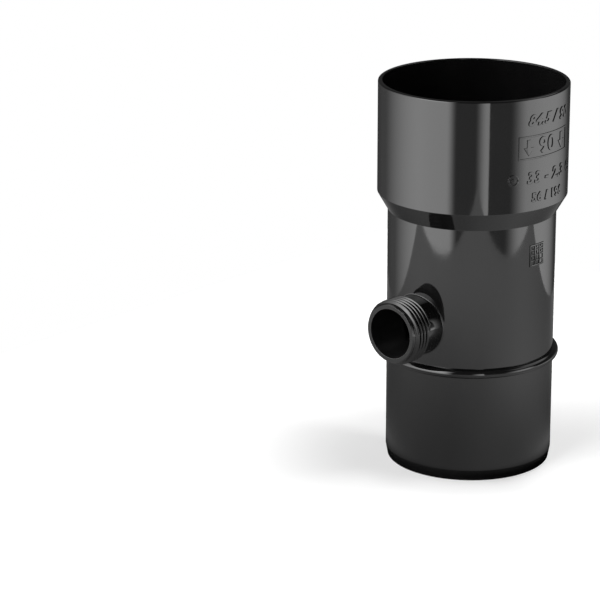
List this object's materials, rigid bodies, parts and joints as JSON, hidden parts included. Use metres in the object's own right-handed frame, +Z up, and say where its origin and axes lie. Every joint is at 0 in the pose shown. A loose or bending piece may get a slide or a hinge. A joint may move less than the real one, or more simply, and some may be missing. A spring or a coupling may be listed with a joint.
{
  "type": "rainwater diverter",
  "caption": "Downpipe body with a top socket, a plain lower spigot, a stop bead, an inner collecting trough and a threaded side outlet.",
  "frame": {"origin": "on the pipe's axis, in the plane of the bottom edge", "axes": "+Z up the pipe, towards the socket's mouth; -Y along the outlet's axis, away from the pipe"},
  "size_m": [0.0952, 0.11, 0.1965],
  "materials": {
    "black_pvc": "gloss, injection moulded"
  },
  "bodies": {
    "root": {"diverter_body": "black_pvc"}
  },
  "joints": []
}
